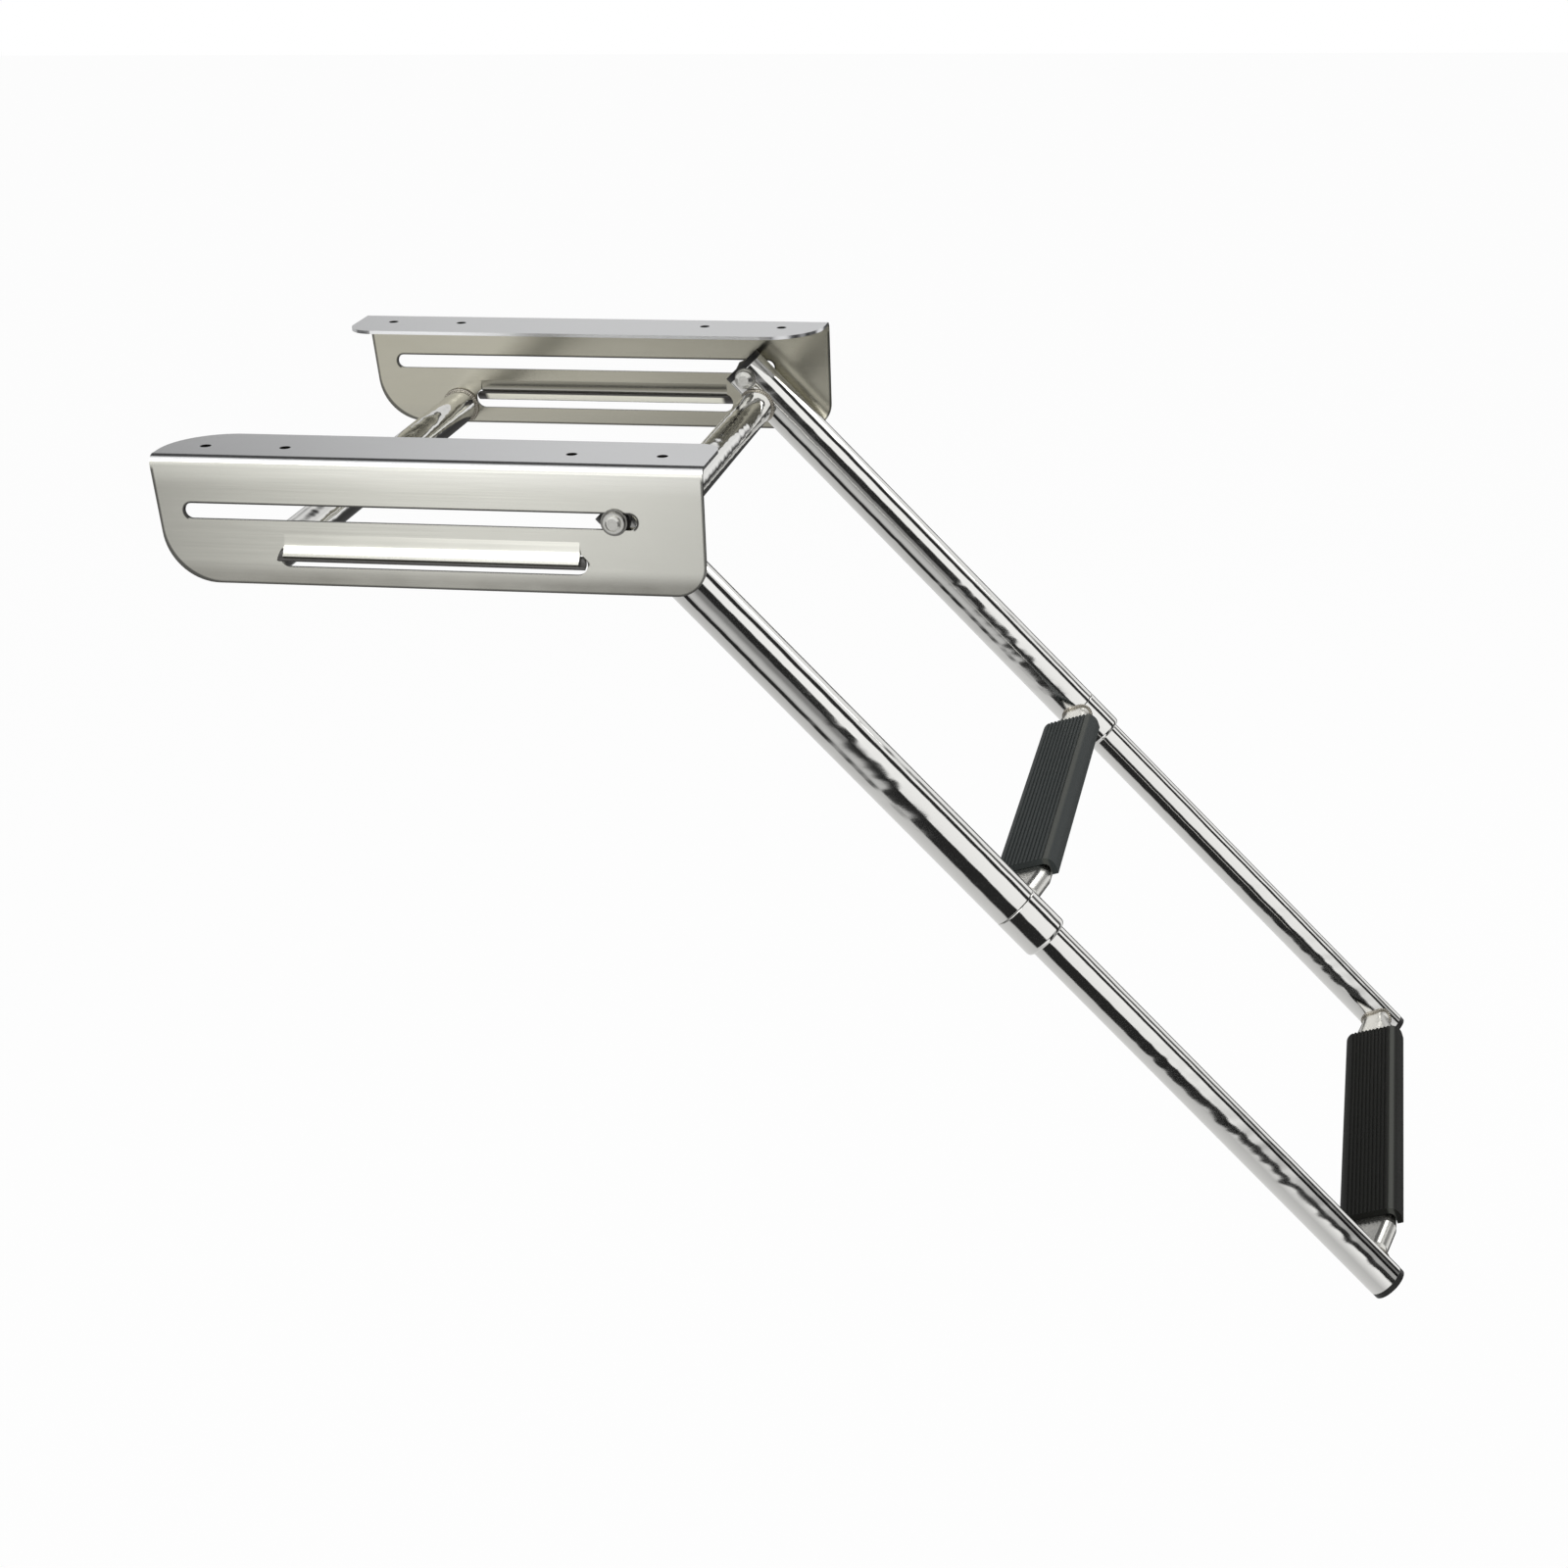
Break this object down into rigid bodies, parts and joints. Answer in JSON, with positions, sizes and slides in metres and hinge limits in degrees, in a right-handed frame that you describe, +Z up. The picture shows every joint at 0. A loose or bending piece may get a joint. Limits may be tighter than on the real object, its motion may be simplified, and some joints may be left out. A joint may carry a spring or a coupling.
{
  "type": "telescopic boarding ladder",
  "caption": "Under-platform telescopic boarding ladder: steel side tubes that slide and swing between two slotted brackets, with black moulded treads.",
  "frame": {"origin": "centre of the near bracket's flange top face", "axes": "+X along the brackets from rear to front, +Y from the near bracket to the far one, +Z up"},
  "size_m": [0.8102, 0.432, 0.5645],
  "materials": {
    "satin_steel": "satin stainless sheet with a lengthwise grain",
    "polished_steel": "mirror-polished stainless tube",
    "bolt_steel": "plain stainless fasteners",
    "black_tread": "black moulded plastic with fine lengthwise ribs",
    "black_plug": "black plastic plug",
    "nylon": "dark nylon"
  },
  "bodies": {
    "brackets": {"near_bracket": "satin_steel", "near_slide_strip": "nylon", "far_bracket": "satin_steel", "far_slide_strip": "nylon", "tie_tube": "polished_steel"},
    "carriage": {"near_pivot_bolt": "bolt_steel", "near_head_washer": "bolt_steel", "near_slot_bushing": "nylon", "near_pivot_nut": "bolt_steel", "far_pivot_bolt": "bolt_steel", "far_head_washer": "bolt_steel", "far_slot_bushing": "nylon", "far_pivot_nut": "bolt_steel"},
    "upper_ladder": {"near_outer_tube": "polished_steel", "near_top_plug": "black_plug", "near_collar": "polished_steel", "far_outer_tube": "polished_steel", "far_top_plug": "black_plug", "far_collar": "polished_steel", "top_cross_tube": "polished_steel", "upper_step_core": "polished_steel", "upper_tread": "black_tread"},
    "lower_ladder": {"near_inner_tube": "polished_steel", "near_guide_ring": "nylon", "near_foot_plug": "black_plug", "far_inner_tube": "polished_steel", "far_guide_ring": "nylon", "far_foot_plug": "black_plug", "lower_step_core": "polished_steel", "lower_tread": "black_tread"}
  },
  "joints": [
    {"name": "slot_slide", "type": "slide", "parent": "brackets", "child": "carriage", "axis": [-1, 0, 0], "range_m": [-0.009, 0.205]},
    {"name": "ladder_swing", "type": "hinge", "parent": "carriage", "child": "upper_ladder", "pos_m": [0.1238, 0.181, -0.0362], "axis": [0, -1, 0], "range_deg": [0, 46.34]},
    {"name": "telescope", "type": "slide", "parent": "upper_ladder", "child": "lower_ladder", "axis": [-0.6904, 0, 0.7234], "range_m": [0, 0.29]}
  ]
}
